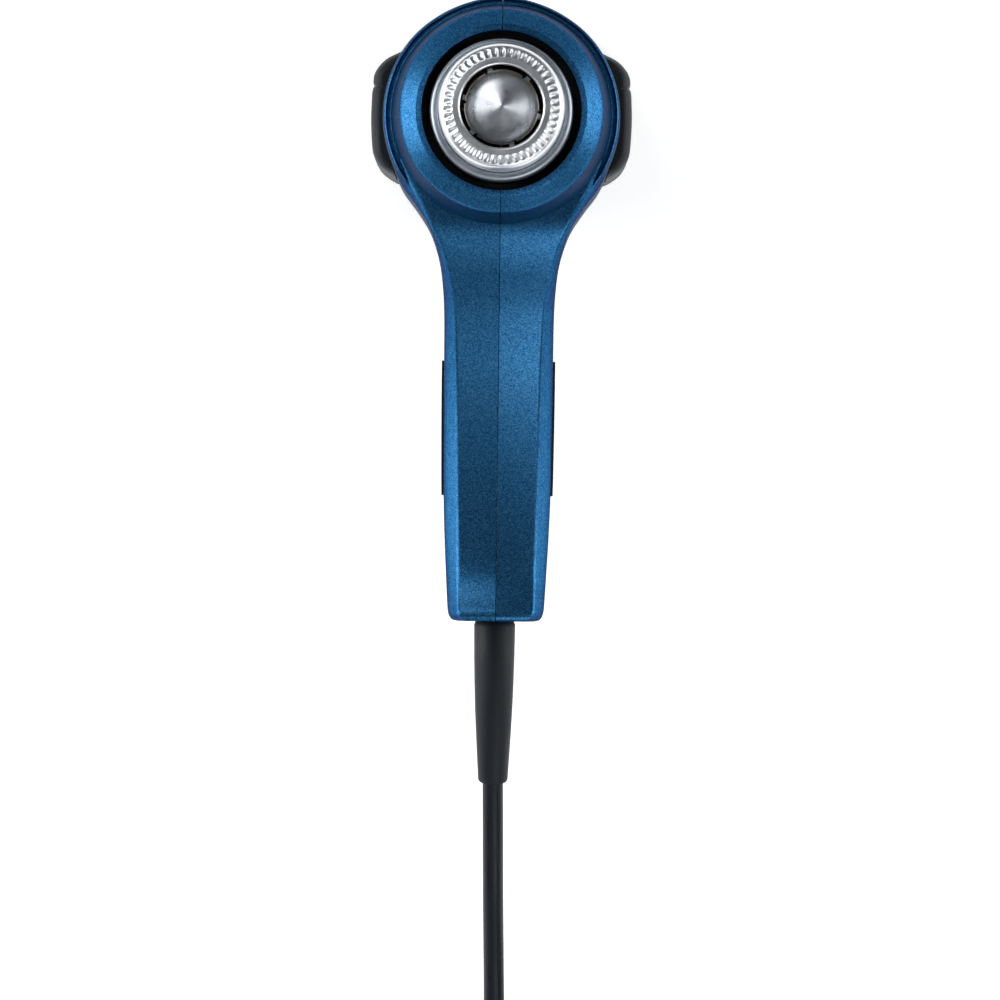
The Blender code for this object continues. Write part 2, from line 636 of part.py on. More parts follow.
def cord():
    wire("power_cord", smooth_points(DROOP, 2.4 * CORD_D), CORD_D / 2, CORD, 3)
    coil = turned("cord_coil", [
        (COIL_IN, COIL_HIGH - 0.003), (COIL_IN + 0.003, COIL_HIGH), (COIL_OUT - 0.003, COIL_HIGH),
        (COIL_OUT, COIL_HIGH - 0.003), (COIL_OUT, COIL_LOW + 0.003), (COIL_OUT - 0.003, COIL_LOW),
        (COIL_IN + 0.003, COIL_LOW), (COIL_IN, COIL_LOW + 0.003)], CORD, 36, ring=True)
    coil.data.transform(Matrix.Translation((COIL_X, COIL_Y, 0)))
    tie = box("coil_tie", (COIL_X + 0.0286, COIL_Y - 0.0050, 0.0002), (COIL_X + 0.0549, COIL_Y + 0.0050, 0.0256),
              BLACK, 0.0005)
    cut(tie, box("tie_hollow", (COIL_X + 0.0297, COIL_Y - 0.0100, 0.0012),
                 (COIL_X + 0.0538, COIL_Y + 0.0100, 0.0245)))


def plug():
    """A moulded two-pin plug lying on the coil."""
    y = COIL_Y - 0.0385
    rings = []
    for x, wide, high, z in ((-0.0080, 0.0044, 0.0044, 0.0290), (0.0030, 0.0054, 0.0052, 0.0315),
                             (0.0050, 0.0085, 0.0072, 0.0330), (0.0120, 0.0132, 0.0092, 0.0347),
                             (0.0200, 0.0174, 0.0103, 0.0350), (0.0300, 0.0180, 0.0104, 0.0350),
                             (0.0320, 0.0174, 0.0099, 0.0350)):
        ring = []
        for k in range(24):
            angle = math.tau * k / 24
            side = math.copysign(abs(math.cos(angle)) ** 0.8, math.cos(angle))
            up = math.copysign(abs(math.sin(angle)) ** 0.8, math.sin(angle))
            ring.append((COIL_X + x, y + wide * side, z + high * up))
        rings.append(ring)
    body = loft("plug_body", rings, RUBBER)
    for side, name in ((-1, "plug_pin_left"), (1, "plug_pin_right")):
        across = y + side * 0.0095
        cut(body, rod(name + "_socket", (COIL_X + 0.0220, across, 0.0350), (COIL_X + 0.0400, across, 0.0350),
                      0.0026, steps=16))
        pin = rod(name, (COIL_X + 0.0225, across, 0.0350), (COIL_X + 0.0495, across, 0.0350), 0.0024, BRASS, 16)
        join(pin, rod(name + "_tip", (COIL_X + 0.0490, across, 0.0350), (COIL_X + 0.0510, across, 0.0350),
                      0.0023, steps=16, end_radius=0.0012))


housing()
screws()
switch()
side_pads()
grips()
rear_end()
motor()
heater()
nozzle()
leads()
clamp()
strain_relief()
cord()
plug()
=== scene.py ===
# %% [markdown]
# # A hot-air gun standing on its rear end
#
# This lesson dresses a corded hot-air gun. The CAD frame already holds every working part at
# its true size, in metres: Z is the axis of the nozzle, the grip points along -Y and X is
# sideways. Here each part that shows gets a finer skin and a finish that says what it is made
# of, and the frame stays where it is.

# %% Load the frame
import json
import math

import bmesh
import bpy
from mathutils import Matrix, Vector


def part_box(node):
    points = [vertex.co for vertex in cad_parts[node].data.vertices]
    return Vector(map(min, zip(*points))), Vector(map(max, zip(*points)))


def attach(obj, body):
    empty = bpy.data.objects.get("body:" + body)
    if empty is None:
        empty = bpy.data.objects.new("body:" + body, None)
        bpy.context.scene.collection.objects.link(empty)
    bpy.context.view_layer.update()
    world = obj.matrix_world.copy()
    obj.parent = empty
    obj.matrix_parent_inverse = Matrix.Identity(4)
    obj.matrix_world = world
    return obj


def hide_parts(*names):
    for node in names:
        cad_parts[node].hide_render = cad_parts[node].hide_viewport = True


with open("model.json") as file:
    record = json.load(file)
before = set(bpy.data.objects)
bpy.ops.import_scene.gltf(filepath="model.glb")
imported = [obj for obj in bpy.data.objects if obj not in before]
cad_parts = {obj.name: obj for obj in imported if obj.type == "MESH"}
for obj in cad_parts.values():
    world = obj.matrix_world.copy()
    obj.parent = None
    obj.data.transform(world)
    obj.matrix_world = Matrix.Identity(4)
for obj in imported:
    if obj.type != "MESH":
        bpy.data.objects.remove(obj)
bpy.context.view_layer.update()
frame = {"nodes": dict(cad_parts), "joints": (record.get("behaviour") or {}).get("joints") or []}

# %% [markdown]
# ## Camera
#
# The gun is looked at straight down the nozzle from three metres away with a long lens, as in a
# catalogue. A short lens close by would also frame it, but it would show the sides of the grip
# and make the nozzle look too large. The camera looks down -Z with +Y up, turned by two thirds
# of a degree, so that the gun leans a little in the view.

# %% Camera
EYE = Vector((0.0011, -0.1365, 3.0))
TILT = math.radians(0.684)
lens = bpy.data.cameras.new("long_lens")
lens.sensor_width = 36.0
lens.lens = 291.5
lens.clip_end = 20.0
camera = bpy.data.objects.new("camera", lens)
camera.location = EYE
camera.rotation_euler = (0.0, 0.0, TILT)
bpy.context.scene.collection.objects.link(camera)
bpy.context.scene.camera = camera
bpy.context.scene.view_settings.view_transform = "Standard"
print("camera", tuple(camera.location))

# %% [markdown]
# ## Helpers for colours and nodes
#
# Colours are written as sRGB hex, the way a paint chart gives them, and one function turns
# them to the linear numbers that a shader wants. Nodes could be placed by hand in the shader
# editor. Here one function adds a node, sets it and wires it, so that a material reads as a
# list of its steps and is the same each time.

# %% Colours and nodes
def linear(hex_colour):
    """A linear RGBA colour from an sRGB hex value."""
    parts = [int(hex_colour[i:i + 2], 16) / 255 for i in (1, 3, 5)]
    return (*[c / 12.92 if c <= 0.04045 else ((c + 0.055) / 1.055) ** 2.4 for c in parts], 1.0)


def add_node(tree, kind, inputs=None, **settings):
    """Adds a node. Inputs are values, or (node, output) pairs to link from."""
    node = tree.nodes.new("ShaderNode" + kind)
    for key, value in settings.items():
        setattr(node, key, value)
    for socket, value in (inputs or {}).items():
        if isinstance(value, tuple) and isinstance(value[0], bpy.types.Node):
            tree.links.new(value[0].outputs[value[1]], node.inputs[socket])
        else:
            node.inputs[socket].default_value = value
    return node


def start_material(name, **inputs):
    """A material with its shader and output, and a node that gives places in metres."""
    made = bpy.data.materials.new(name)
    made.use_nodes = True
    tree = made.node_tree
    tree.nodes.clear()
    shader = add_node(tree, "BsdfPrincipled", {k.replace("_", " "): v for k, v in inputs.items()})
    add_node(tree, "OutputMaterial", {"Surface": (shader, "BSDF")})
    place = add_node(tree, "TexCoord")
    return made, tree, shader, place


def per_metre(size_mm):
    """The texture scale at which one cell of a pattern is size_mm wide."""
    return 1000.0 / size_mm


def dress(piece, material):
    """Gives a piece one material."""
    piece.data.materials.clear()
    piece.data.materials.append(material)
    return piece


print("a 0.4 mm pattern has scale", per_metre(0.4))

# %% [markdown]
# ## Blue metallic lacquer on ABS
#
# The shells are injection-moulded ABS, sprayed with a base coat full of aluminium flake under
# a thin satin clear coat. Flake makes the colour lighten towards a light and fall almost to
# black away from it, and up close it glitters. A plain blue gloss would have one highlight
# over an even colour, so the base is a tinted metal instead. A Voronoi pattern gives each flake
# its own brightness and its own small tilt. Real flake is 0.03 mm; it is drawn at 0.3 mm so
# that it shows as a fine grain.

# %% Blue lacquer
FLAKE_MM = 0.30
TINT_CLOUD_MM = 35.0


def blue_flake_lacquer():
    """A tinted metal base with bright flakes, under a thin satin coat."""
    made, tree, shader, place = start_material(
        "blue_flake_lacquer", Roughness=0.37, Metallic=0.94, Coat_Weight=0.07,
        Coat_Roughness=0.26, Coat_IOR=1.5, Specular_Tint=linear("#0e2d4c"))
    flake = add_node(tree, "TexVoronoi", {"Vector": (place, "Object"),
                                          "Scale": per_metre(FLAKE_MM)})
    cloud = add_node(tree, "TexNoise", {"Vector": (place, "Object"),
                                        "Scale": per_metre(TINT_CLOUD_MM), "Detail": 3.0})
    bright = add_node(tree, "SeparateColor", {"Color": (flake, "Color")})
    grain = add_node(tree, "ValToRGB", {"Fac": (bright, "Red")})
    grain.color_ramp.elements[0].color = linear("#104a77")
    grain.color_ramp.elements[1].color = linear("#3f7ca8")
    grain.color_ramp.elements[0].position = 0.15
    shade = add_node(tree, "ValToRGB", {"Fac": (cloud, "Fac")})
    shade.color_ramp.elements[0].color = linear("#f0f4f8")
    shade.color_ramp.elements[1].color = linear("#ffffff")
    colour = add_node(tree, "Mix", {0: 1.0, 6: (grain, "Color"), 7: (shade, "Color")},
                      data_type="RGBA", blend_type="MULTIPLY")
    tree.links.new(colour.outputs[2], shader.inputs["Base Color"])
    tilt = add_node(tree, "Bump", {"Strength": 0.30, "Distance": 0.00003,
                                   "Height": (bright, "Green")})
    tree.links.new(tilt.outputs["Normal"], shader.inputs["Normal"])
    return made


LACQUER = blue_flake_lacquer()
print("made", LACQUER.name, "with flakes of", FLAKE_MM, "mm")

# %% [markdown]
# ## Moulded blacks
#
# The grille, the slider and the tie are polyamide from a spark-eroded mould, which leaves a
# fine even grain. The pads, grips, strain relief and plug are TPE rubber: softer looking, with
# a wider and duller highlight. The cord's sheath is extruded rubber, smoother than the moulded
# pieces. A flat dark colour would look like a hole, so each has two close tones, a grain in its
# surface and small changes of roughness. One function makes all of them, and the plastics,
# mica and ceramic inside too, because they differ only in colour, grain size and gloss.

# %% Black plastics and rubbers
TONE_MM = 18.0


def moulded(name, dark, light, roughness, grain_mm, depth_mm, gloss=0.5):
    """A moulded plastic or rubber with an even grain and slight changes of tone."""
    made, tree, shader, place = start_material(
        name, Roughness=roughness, IOR=1.5, Specular_IOR_Level=gloss)
    grain = add_node(tree, "TexNoise", {"Vector": (place, "Object"), "Scale": per_metre(grain_mm),
                                        "Detail": 2.0})
    tone = add_node(tree, "TexNoise", {"Vector": (place, "Object"), "Scale": per_metre(TONE_MM),
                                       "Detail": 4.0})
    ramp = add_node(tree, "ValToRGB", {"Fac": (tone, "Fac")})
    ramp.color_ramp.elements[0].color = linear(dark)
    ramp.color_ramp.elements[1].color = linear(light)
    tree.links.new(ramp.outputs["Color"], shader.inputs["Base Color"])
    rub = add_node(tree, "MapRange", {"Value": (tone, "Fac"), "From Min": 0.3, "From Max": 0.7,
                                      "To Min": roughness - 0.05, "To Max": roughness + 0.07})
    tree.links.new(rub.outputs["Result"], shader.inputs["Roughness"])
    bump = add_node(tree, "Bump", {"Strength": 0.35, "Distance": depth_mm / 1000,
                                   "Height": (grain, "Fac")})
    tree.links.new(bump.outputs["Normal"], shader.inputs["Normal"])
    return made


POLYAMIDE = moulded("spark_eroded_polyamide", "#0c0f12", "#16191d", 0.50, 0.45, 0.03, 0.35)
TPE = moulded("moulded_tpe_rubber", "#090f14", "#131b23", 0.50, 0.60, 0.04, 0.26)
SHEATH = moulded("extruded_rubber_sheath", "#040a10", "#0b141d", 0.42, 0.80, 0.03, 0.24)
BAFFLE = moulded("heatproof_black_plastic", "#030406", "#07080a", 0.70, 0.60, 0.03)
CASE = moulded("capacitor_epoxy", "#a8721c", "#c08a2c", 0.35, 0.80, 0.02)
PVC_BROWN = moulded("brown_pvc_insulation", "#6a3a1c", "#7c4824", 0.40, 0.60, 0.02)
PVC_BLUE = moulded("blue_pvc_insulation", "#1f5fb0", "#2c70c4", 0.40, 0.60, 0.02)
GLASS_BOARD = moulded("glass_epoxy_board", "#1f6b34", "#2d8042", 0.42, 0.90, 0.03)
STEATITE = moulded("pressed_steatite_ceramic", "#d8d4c8", "#e8e5dc", 0.65, 0.50, 0.03)
MICA = moulded("laminated_mica_sheet", "#a0916c", "#bcae88", 0.38, 1.50, 0.05)
print("blacks", POLYAMIDE.name, TPE.name, SHEATH.name, BAFFLE.name)

# %% [markdown]
# ## Metals
#
# The nozzle is deep-drawn stainless steel: satin, slightly blue, with the cloudy patches that
# drawing and handling leave. Its outer ring is duller and darker than the tube inside. Screws
# and the shaft are zinc plated, the heater wire is oxidised iron-chromium-aluminium, the
# motor's can is plated steel. A metal's colour is its reflection, so painting marks into the
# colour would look like dirt: the base stays pale and the pattern goes mainly into roughness.

# %% Metals
def metal(name, dark, light, roughness, cloud_mm, scratch_mm, depth_mm):
    """A metal whose pattern is in its roughness, with a trace of surface relief."""
    made, tree, shader, place = start_material(name, Metallic=1.0, Roughness=roughness)
    cloud = add_node(tree, "TexNoise", {"Vector": (place, "Object"), "Scale": per_metre(cloud_mm),
                                        "Detail": 5.0, "Roughness": 0.6})
    grain = add_node(tree, "TexNoise", {"Vector": (place, "Object"),
                                        "Scale": per_metre(scratch_mm), "Detail": 3.0})
    ramp = add_node(tree, "ValToRGB", {"Fac": (cloud, "Fac")})
    ramp.color_ramp.elements[0].color = linear(dark)
    ramp.color_ramp.elements[1].color = linear(light)
    ramp.color_ramp.elements[0].position = 0.3
    ramp.color_ramp.elements[1].position = 0.7
    tree.links.new(ramp.outputs["Color"], shader.inputs["Base Color"])
    rub = add_node(tree, "MapRange", {"Value": (cloud, "Fac"), "From Min": 0.3, "From Max": 0.7,
                                      "To Min": roughness - 0.05, "To Max": roughness + 0.06})
    tree.links.new(rub.outputs["Result"], shader.inputs["Roughness"])
    bump = add_node(tree, "Bump", {"Strength": 0.25, "Distance": depth_mm / 1000,
                                   "Height": (grain, "Fac")})
    tree.links.new(bump.outputs["Normal"], shader.inputs["Normal"])
    return made


DRAWN_STEEL = metal("drawn_stainless_steel", "#dde1e6", "#eceff2", 0.33, 9.0, 1.2, 0.001)
SATIN_STEEL = metal("satin_stainless_jacket", "#969fa9", "#a9b1ba", 0.40, 9.0, 1.2, 0.001)
DISC_STEEL = metal("pressed_stainless_disc", "#ccd1d8", "#e2e6ea", 0.31, 4.0, 0.9, 0.003)
ZINC = metal("zinc_plated_steel", "#b4b4b0", "#cfcfca", 0.30, 4.0, 0.6, 0.010)
HEATER_WIRE = metal("oxidised_heater_wire", "#5e564e", "#7c7268", 0.48, 2.0, 0.5, 0.020)
CAN_STEEL = metal("plated_motor_can", "#a8abb0", "#c2c5ca", 0.34, 9.0, 0.8, 0.010)
NICKEL = metal("nickel_plated_brass", "#c8c0aa", "#dcd6c4", 0.20, 5.0, 0.6, 0.008)
print("steels", DRAWN_STEEL.name, SATIN_STEEL.name, DISC_STEEL.name)

# %% [markdown]
# ## Helpers for shapes
#
# Most pieces here are either turned about an axis, or are a row of outlines with a skin over
# them. Both are the same job: rings of equal length that are joined side by side. Blender's
# Screw modifier could turn an outline too, but not change it with the angle, as the flutes and
# the rim need. A corner of an outline is rounded by a short curve that starts a set distance
# before it, and always has the same number of points, so that the rings stay equal.

# %% Rings, skins and turned shapes
def rounded(corners, steps=5):
    """An outline from (a, b, reach) corners; the rounding starts reach before a corner."""
    found = []
    for k, (a, b, reach) in enumerate(corners):
        here = Vector((a, b))
        if not reach:
            found.append((a, b))
            continue
        before = Vector(corners[k - 1][:2])
        after = Vector(corners[(k + 1) % len(corners)][:2])
        start = here + (before - here) * min(0.46, reach / (before - here).length)
        end = here + (after - here) * min(0.46, reach / (after - here).length)
        for step in range(steps + 1):
            t = step / steps
            point = start * (1 - t) ** 2 + here * 2 * t * (1 - t) + end * t * t
            found.append((point.x, point.y))
    return found


def skin(rings, loop=False):
    """A closed mesh over rings of equal length; loop joins the last to the first."""
    shape = bmesh.new()
    rows = [[shape.verts.new(point) for point in ring] for ring in rings]
    pairs = list(zip(rows, rows[1:])) + ([(rows[-1], rows[0])] if loop else [])
    for a, b in pairs:
        for k in range(len(a)):
            n = (k + 1) % len(a)
            shape.faces.new((a[k], a[n], b[n], b[k]))
    if not loop:
        shape.faces.new(rows[0])
        shape.faces.new(rows[-1][::-1])
    bmesh.ops.remove_doubles(shape, verts=shape.verts, dist=1e-7)
    bmesh.ops.recalc_face_normals(shape, faces=shape.faces)
    mesh = bpy.data.meshes.new("skin")
    shape.to_mesh(mesh)
    shape.free()
    return mesh


def spun(outline, steps=192, shape=None):
    """An outline of (radius, z) turned about Z; shape may change it with the angle."""
    rings = []
    for k in range(steps):
        angle = math.tau * k / steps
        here = [shape(r, z, angle) for r, z in outline] if shape else outline
        rings.append([(r * math.cos(angle), r * math.sin(angle), z) for r, z in here])
    return skin(rings, loop=True)


def block(low, high):
    """A box between two corners."""
    (x0, y0, z0), (x1, y1, z1) = low, high
    return skin([[(x0, y0, z), (x1, y0, z), (x1, y1, z), (x0, y1, z)] for z in (z0, z1)])


def bar_across(x_from, x_to, y, z, radius, steps=32):
    """A round bar that lies along X."""
    turn = [math.tau * k / steps for k in range(steps)]
    return skin([[(x, y + radius * math.cos(a), z + radius * math.sin(a)) for a in turn]
                 for x in (x_from, x_to)])


print("a rounded square has", len(rounded([(0, 0, 1), (9, 0, 1), (9, 9, 1), (0, 9, 1)])), "points")

# %% [markdown]
# ## Cutting and joining
#
# The shells are carved from one solid, as a mould maker would do it, so the parts of the
# surface meet exactly. Modelling them as separate sheets would leave small gaps where the
# handle meets the head. Boolean modifiers do the work and the result is kept as a plain mesh.

# %% Booleans and finished pieces
def combined(mesh, others, operation):
    """The mesh with others added (UNION), taken away (DIFFERENCE) or as its limit (INTERSECT)."""
    base = bpy.data.objects.new("base", mesh)
    bpy.context.scene.collection.objects.link(base)
    tools = []
    for other in others:
        tool = bpy.data.objects.new("tool", other)
        bpy.context.scene.collection.objects.link(tool)
        tools.append(tool)
        change = base.modifiers.new("change", "BOOLEAN")
        change.operation = operation
        change.solver = "EXACT"
        change.object = tool
    bpy.context.view_layer.update()
    seen = base.evaluated_get(bpy.context.evaluated_depsgraph_get())
    made = bpy.data.meshes.new_from_object(seen)
    for old in [base, *tools]:
        bpy.data.objects.remove(old)
    shape = bmesh.new()
    shape.from_mesh(made)
    bmesh.ops.remove_doubles(shape, verts=shape.verts, dist=2e-6)
    bmesh.ops.dissolve_degenerate(shape, edges=shape.edges, dist=2e-6)
    shape.to_mesh(made)
    shape.free()
    return made


def piece(name, mesh, material, slot, nodes, body="body", sharp=35, even=True):
    """A finished piece: smooth shaded, with its material, its body and what it replaces."""
    made = bpy.data.objects.new(name, mesh)
    bpy.context.scene.collection.objects.link(made)
    mesh.materials.clear()
    mesh.materials.append(material)
    for face in mesh.polygons:
        face.material_index = 0
    mesh.shade_smooth()
    mesh.set_sharp_from_angle(angle=math.radians(sharp))
    if even:
        weighted = made.modifiers.new("even_shading", "WEIGHTED_NORMAL")
        weighted.keep_sharp = True
    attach(made, body)
    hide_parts(*nodes)
    return made


def smooth_route(route, count):
    """Points on a smooth curve through a route, count of them in each of its stretches."""
    route = [Vector(point) for point in route]
    ends = [2 * route[0] - route[1]] + route + [2 * route[-1] - route[-2]]
    found = []
    for a, b, c, d in zip(ends, ends[1:], ends[2:], ends[3:]):
        for k in range(count):
            t = k / count
            found.append(0.5 * (2 * b + (c - a) * t + (2 * a - 5 * b + 4 * c - d) * t * t
                                + (3 * b - a - 3 * c + d) * t ** 3))
    return found + [route[-1]]


print("helpers for booleans and pieces are ready")

# %% [markdown]
# ## The mains cord
#
# A hot-air gun has about 2.5 m of 7.5 mm rubber lead. A length of it droops from the strain
# relief down to the table. The rest is put away in a neat coil of nine turns, three wide and
# three high, with the plug resting on it. A simulated rope would need many steps and still
# cross itself, so the turns are worked out by a loop: each layer is wound inwards or outwards,
# and the cord steps to the next column over a third of a turn.

# %% The cord's route
CORD_D = 0.0075
CORD_X = -0.0003
DROOP = [
    (-0.0003, -0.2388, 0.0505), (0.0000, -0.2600, 0.0430), (0.0003, -0.2820, 0.0325),
    (0.0007, -0.3020, 0.0210), (0.0011, -0.3220, 0.0115), (0.0014, -0.3420, 0.0062),
    (0.0016, -0.3600, 0.0053),
]
COIL = Vector((0.0513, -0.3880, 0.0))
COLUMNS = (0.0497, 0.0420, 0.0343)
LAYERS = (0.00525, 0.01295, 0.02065)
TURN_POINTS = 24
STEP_SHARE = 1 / 3


def eased(t):
    """Goes smoothly from 0 to 1."""
    t = min(1.0, max(0.0, t))
    return t * t * (3 - 2 * t)


def coil_points():
    """Nine turns: radius and height change from one turn to the next."""
    turns = []
    for layer, height in enumerate(LAYERS):
        columns = COLUMNS if layer % 2 == 0 else COLUMNS[::-1]
        turns += [(radius, height) for radius in columns]
    found = []
    for number, (radius, height) in enumerate(turns):
        last = turns[number - 1] if number else (radius, height)
        for k in range(TURN_POINTS):
            share = k / TURN_POINTS
            move = eased(share / STEP_SHARE)
            angle = math.pi + math.tau * share
            r = last[0] + (radius - last[0]) * move
            z = last[1] + (height - last[1]) * move
            found.append(COIL + Vector((r * math.cos(angle), r * math.sin(angle), z)))
    rise = [(180, 0.0343, 0.02065), (205, 0.0345, 0.0225), (230, 0.0365, 0.0260),
            (250, 0.0393, 0.0287)]
    for degrees, r, z in rise:
        angle = math.radians(degrees)
        found.append(COIL + Vector((r * math.cos(angle), r * math.sin(angle), z)))
    found.append(COIL + Vector((-0.0080, -0.0385, 0.0290)))
    return found


CORD_POINTS = smooth_route(DROOP, 4)[:-1] + coil_points()

# %% The cord
def cord():
    """One open curve with a round section."""
    line = bpy.data.curves.new("mains_cord", "CURVE")
    line.dimensions = "3D"
    line.bevel_depth = CORD_D / 2
    line.bevel_resolution = 6
    line.use_fill_caps = True
    spline = line.splines.new("POLY")
    spline.points.add(len(CORD_POINTS) - 1)
    for place, point in zip(spline.points, CORD_POINTS):
        place.co = (*point, 1.0)
    spline.use_smooth = True
    made = bpy.data.objects.new("mains_cord", line)
    bpy.context.scene.collection.objects.link(made)
    line.materials.append(SHEATH)
    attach(made, "body")
    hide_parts("power_cord", "cord_coil")
    return made


CORD = cord()
print(CORD.name, "is", CORD_D * 1000, "mm thick")

# %% [markdown]
# ## Strain relief and plug
#
# The strain relief is a soft sleeve that bends with the cord and thins towards it, so the bend
# is never sharp. A tapered curve object could make it, but a skin over rings also gives it a
# rounded shoulder and lip, and the flange that holds it in the handle.

# %% Strain relief
RELIEF_Z = 0.0600
RELIEF = [      # (y, z, radius) down its centre line
    (-0.1805, 0.0600, 0.0075), (-0.1950, 0.0596, 0.0073), (-0.2095, 0.0580, 0.0069),
    (-0.2240, 0.0550, 0.0062), (-0.2380, 0.0508, 0.0054),
]
NECK = [(-0.1745, RELIEF_Z, 0.0080), (-0.1772, RELIEF_Z, 0.0080), (-0.1774, RELIEF_Z, 0.0058),
        (-0.1803, RELIEF_Z, 0.0058)]


def strain_relief():
    """A tapered sleeve with a rounded shoulder, a rounded lip, and a flange in the handle."""
    body = [tuple(point) for point in smooth_route(RELIEF, 12)]
    first, last = body[0], body[-1]
    shoulder = [(first[0] + 0.0001, first[1], first[2] - 0.0006)]
    lip = [(last[0] - 0.0004, last[1] - 0.00015, last[2] - 0.0002),
           (last[0] - 0.0007, last[1] - 0.00025, last[2] - 0.0009)]
    places = NECK + shoulder + body[1:] + lip
    rings = []
    for k, (y, z, radius) in enumerate(places):
        before = places[max(0, k - 1)]
        after = places[min(len(places) - 1, k + 1)]
        slope = math.atan2(after[1] - before[1], before[0] - after[0])
        rings.append([(CORD_X + radius * math.cos(a), y + radius * math.sin(a) * math.sin(slope),
                       z + radius * math.sin(a) * math.cos(slope))
                      for a in [math.tau * step / 48 for step in range(48)]])
    return piece("strain_relief_sleeve", skin(rings), TPE, "black_rubber", ["strain_relief"])


SLEEVE = strain_relief()
print("sleeve is", round(abs(RELIEF[-1][0] - RELIEF[0][0]) * 1000), "mm long")

# %% [markdown]
# ## Plug
#
# The plug is the same rubber, moulded in one shot over two nickel-plated pins. Its section goes
# from the round cord to a wide oval. A cube with a Subdivision Surface would be quicker, but
# rings follow the cord's size exactly at one end and give a crisp face at the other.

# %% Plug
PLUG_Y = COIL.y - 0.0385
PLUG_Z = 0.0350
PIN_SIDE = 0.0095
PIN_SEAT_R = 0.0026
OVAL = 0.8      # 1 is an ellipse; less is squarer
PLUG_SHAPE = [  # (x, half width, half height, z)
    (-0.0080, 0.0044, 0.0044, 0.0290), (0.0030, 0.0054, 0.0052, 0.0315),
    (0.0050, 0.0085, 0.0072, 0.0330), (0.0120, 0.0132, 0.0092, 0.0347),
    (0.0200, 0.0174, 0.0103, 0.0350), (0.0300, 0.0180, 0.0104, 0.0350),
    (0.0314, 0.0178, 0.0102, 0.0350), (0.0320, 0.0170, 0.0094, 0.0350),
]


def plug():
    """A skin over squarish ovals, with a seat for each pin."""
    rings = []
    for x, wide, high, z in PLUG_SHAPE:
        ring = []
        for k in range(64):
            angle = math.tau * k / 64
            side = math.copysign(abs(math.cos(angle)) ** OVAL, math.cos(angle))
            up = math.copysign(abs(math.sin(angle)) ** OVAL, math.sin(angle))
            ring.append((COIL.x + x, PLUG_Y + wide * side, z + high * up))
        rings.append(ring)
    seats = [bar_across(COIL.x + 0.0220, COIL.x + 0.0400, PLUG_Y + side * PIN_SIDE, PLUG_Z,
                        PIN_SEAT_R) for side in (-1, 1)]
    mesh = combined(skin(rings), seats, "DIFFERENCE")
    return piece("moulded_plug", mesh, TPE, "black_rubber", ["plug_body"], sharp=50)


PLUG = plug()
print("plug", PLUG.name)

# %% [markdown]
# ## The blue shells
#
# Two half shells meet on the plane x = 0. The head is turned, and the handle is a skin over
# outlines that shrink from the head to the grip and flare again at the end. Their front has a
# low ridge on the parting line, which is why one half catches the light and the other doesn't.
# Both are joined, hollowed, and cut in two, with a fine groove where they meet. A subdivided
# cage could give the same flow, but it would soften the ridge and the bevels beside it.

# %% The shell's driving shapes
WALL = 0.0025
SEAM = 0.00013          # half the groove's width
SEAM_DEPTH = 0.0012
CREST = 0.0012          # the ridge on the parting line
BEVEL_DROP = 0.0048
BACK_ROUND = 0.0190     # height of the rounded back
CROWN = 0.00012         # each half of the front is slightly domed
FACE_STEPS = 8
HANDLE_END = -0.1802
HEAD = [        # (radius, z, where the rounding starts)
    (0.0, 0.1660, 0), (0.0301, 0.1660, 0.0002), (0.0353, 0.1605, 0.0006),
    (0.0359, 0.1594, 0.0006), (0.0387, 0.1330, 0.0010), (0.0389, 0.1296, 0.0006),
    (0.0406, 0.1296, 0.0005), (0.0409, 0.1310, 0.0004), (0.0416, 0.1305, 0.0006),
    (0.0421, 0.1265, 0.0020), (0.0423, 0.1150, 0.0040), (0.0422, 0.0900, 0.0080),
    (0.0416, 0.0560, 0.0080), (0.0404, 0.0320, 0.0050), (0.0388, 0.0210, 0.0008),
    (0.0, 0.0210, 0),
]
BORE = [        # the hollow in the head: (radius, z)
    (0.0, 0.1680), (0.0341, 0.1680), (0.0281, 0.1650), (0.0279, 0.1645), (0.0279, 0.1560),
    (0.0326, 0.1560), (0.0354, 0.1320), (0.0372, 0.1250), (0.0395, 0.1180), (0.0397, 0.0900),
    (0.0391, 0.0560), (0.0379, 0.0320), (0.0364, 0.0180), (0.0, 0.0180),
]
STATIONS = [    # handle: (y, half width, half width of the front face, front z, back z)
    (-0.0100, 0.0400, 0.0375, 0.1300, 0.0260), (-0.0180, 0.0384, 0.0352, 0.1302, 0.0260),
    (-0.0250, 0.0353, 0.0318, 0.1303, 0.0262), (-0.0320, 0.0302, 0.0280, 0.1304, 0.0270),
    (-0.0393, 0.0256, 0.0242, 0.1296, 0.0300), (-0.0465, 0.0229, 0.0208, 0.1268, 0.0345),
    (-0.0537, 0.0211, 0.0187, 0.1222, 0.0390), (-0.0610, 0.0202, 0.0172, 0.1165, 0.0425),
    (-0.0700, 0.0197, 0.0158, 0.1100, 0.0438), (-0.0850, 0.0196, 0.0151, 0.1015, 0.0440),
    (-0.1000, 0.0196, 0.0148, 0.0955, 0.0440), (-0.1180, 0.0195, 0.0145, 0.0903, 0.0440),
    (-0.1350, 0.0193, 0.0142, 0.0868, 0.0425), (-0.1500, 0.0188, 0.0140, 0.0848, 0.0405),
    (-0.1620, 0.0182, 0.0139, 0.0845, 0.0388), (-0.1710, 0.0177, 0.0138, 0.0866, 0.0380),
    (-0.1770, 0.0172, 0.0135, 0.0888, 0.0380), (-0.1795, 0.0160, 0.0122, 0.0885, 0.0388),
    (-0.1802, 0.0140, 0.0105, 0.0872, 0.0400),
]
print("handle is", round(2000 * STATIONS[10][1], 1), "mm wide at the grip")

